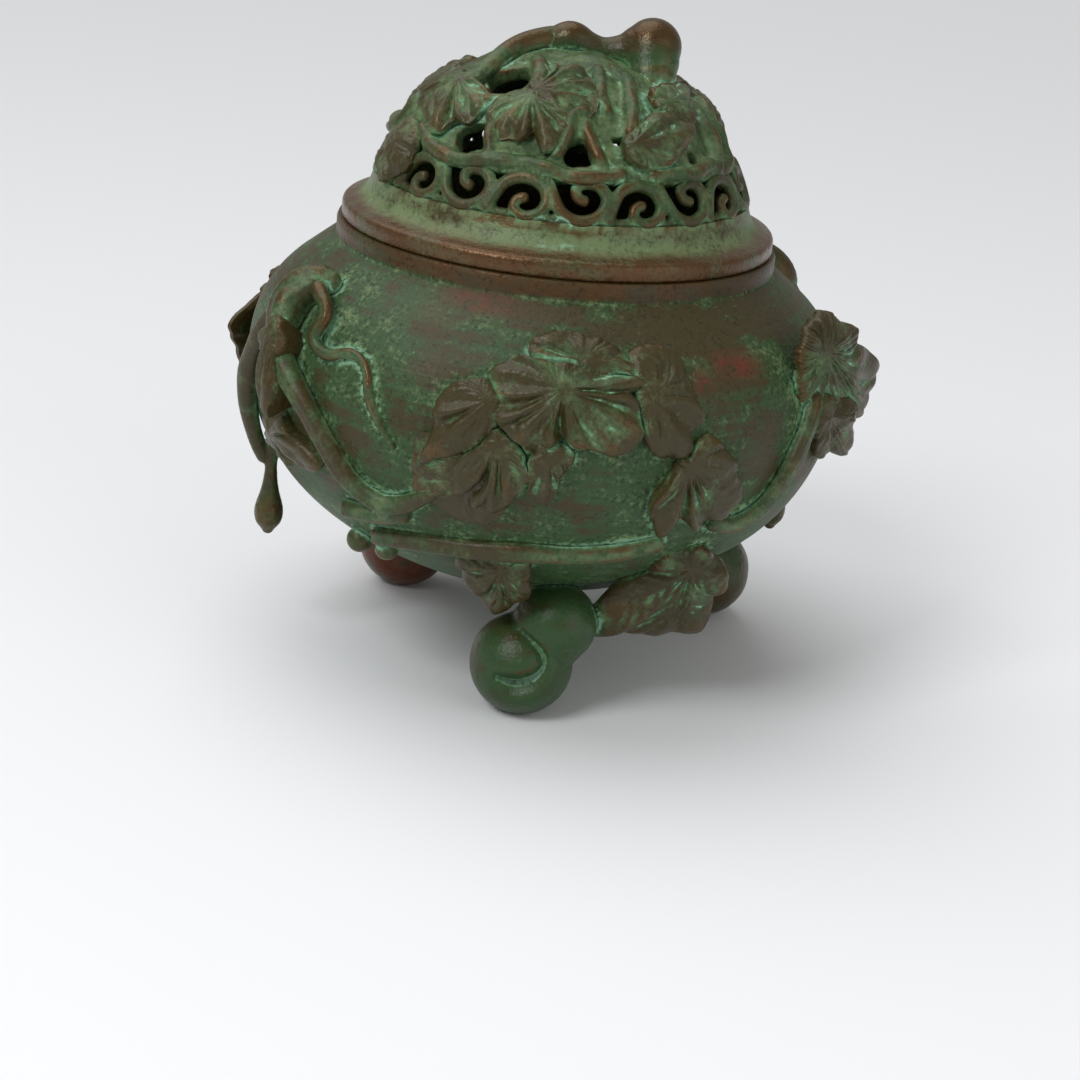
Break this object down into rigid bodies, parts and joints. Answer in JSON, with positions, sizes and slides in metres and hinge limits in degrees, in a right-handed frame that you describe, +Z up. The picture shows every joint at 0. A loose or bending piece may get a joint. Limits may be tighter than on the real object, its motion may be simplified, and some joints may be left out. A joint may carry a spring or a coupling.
{
  "type": "incense burner",
  "caption": "Squat round bronze incense burner on gourd feet, dressed with vines and gourd leaves, under a loose pierced lid with a gourd finial.",
  "frame": {"origin": "on the table under the bowl's axis, at the level of the feet's ground flats", "axes": "+Z up along the bowl's axis, -Y towards the front with the single foot, X across the two handles"},
  "size_m": [0.1282, 0.1182, 0.1208],
  "materials": {
    "bowl_bronze": "satin verdigris patina, brushed",
    "leaf_bronze": "satin patina, browner where rubbed",
    "vine_bronze": "satin patina, browner where rubbed",
    "foot_bronze": "glossy brown with green patina in the hollows",
    "lid_rim_bronze": "rubbed red-brown patina",
    "lid_openwork_bronze": "satin verdigris patina, rubbed on the high bars",
    "finial_bronze": "red-brown patina, polished by handling"
  },
  "bodies": {
    "burner_body": {"back_buds": "vine_bronze", "back_cut_stub": "vine_bronze", "back_left_leaf": "leaf_bronze", "back_lower_left_leaf": "leaf_bronze", "back_lower_right_leaf": "leaf_bronze", "back_middle_leaf": "leaf_bronze", "back_right_leaf": "leaf_bronze", "back_small_leaf": "leaf_bronze", "back_top_leaf": "leaf_bronze", "bowl": "bowl_bronze", "front_buds": "vine_bronze", "front_cut_stub": "vine_bronze", "front_foot": "foot_bronze", "front_foot_large_leaf": "leaf_bronze", "front_foot_small_leaf": "leaf_bronze", "front_left_leaf": "leaf_bronze", "front_lower_left_leaf": "leaf_bronze", "front_lower_right_leaf": "leaf_bronze", "front_middle_leaf": "leaf_bronze", "front_ribbon_stem": "vine_bronze", "front_right_leaf": "leaf_bronze", "front_small_leaf": "leaf_bronze", "front_top_leaf": "leaf_bronze", "left_ear_leaf": "leaf_bronze", "left_foot": "foot_bronze", "left_foot_large_leaf": "leaf_bronze", "left_foot_small_leaf": "leaf_bronze", "left_hanging_gourd": "vine_bronze", "left_lower_leaf": "leaf_bronze", "left_side_vine": "vine_bronze", "left_tendril": "vine_bronze", "left_tongue_leaf": "leaf_bronze", "left_under_leaf": "leaf_bronze", "left_vine": "vine_bronze", "right_ear_leaf": "leaf_bronze", "right_foot": "foot_bronze", "right_foot_large_leaf": "leaf_bronze", "right_foot_small_leaf": "leaf_bronze", "right_hanging_gourd": "vine_bronze", "right_lower_leaf": "leaf_bronze", "right_side_vine": "vine_bronze", "right_tendril": "vine_bronze", "right_tongue_leaf": "leaf_bronze", "right_under_leaf": "leaf_bronze", "right_vine": "vine_bronze"},
    "lid": {"dome_back_leaf": "leaf_bronze", "dome_back_left_leaf": "leaf_bronze", "dome_back_right_leaf": "leaf_bronze", "dome_left_leaf": "leaf_bronze", "dome_middle_leaf": "leaf_bronze", "dome_right_leaf": "leaf_bronze", "dome_right_tip_leaf": "leaf_bronze", "dome_small_left_leaf": "leaf_bronze", "dome_upper_leaf": "leaf_bronze", "finial_gourd": "finial_bronze", "finial_stem": "vine_bronze", "lid_dome": "lid_openwork_bronze", "lid_flange": "lid_rim_bronze", "lid_gallery": "lid_openwork_bronze"}
  },
  "joints": [
    {"name": "lid_lift", "type": "slide", "parent": "burner_body", "child": "lid", "axis": [0, 0, 1], "range_m": [0, 0.06]}
  ]
}
